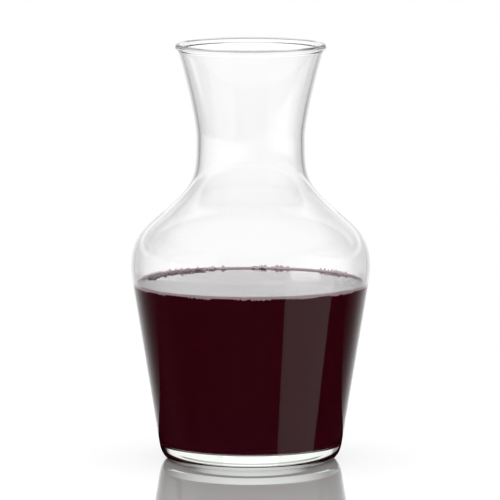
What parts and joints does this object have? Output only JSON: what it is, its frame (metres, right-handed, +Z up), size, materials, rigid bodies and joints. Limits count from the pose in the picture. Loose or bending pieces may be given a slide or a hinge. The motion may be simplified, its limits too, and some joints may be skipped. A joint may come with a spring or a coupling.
{
  "type": "wine decanter",
  "caption": "Clear glass wine decanter with a flared rim, narrow neck, sloping shoulder and tapered body on a thick base, part filled with red wine.",
  "frame": {"origin": "centre of the foot, on the surface that the decanter stands on", "axes": "+Z up along the axis of revolution; X and Y are level and alike"},
  "size_m": [0.1168, 0.1168, 0.2041],
  "materials": {
    "clear_glass": "fire-polished clear soda-lime glass, colourless with a faint green tint in thick sections",
    "red_wine": "deep red liquid, nearly black through its full depth and red at thin edges, with a mirror-smooth surface"
  },
  "bodies": {
    "root": {"decanter_glass": "clear_glass", "wine": "red_wine"}
  },
  "joints": []
}
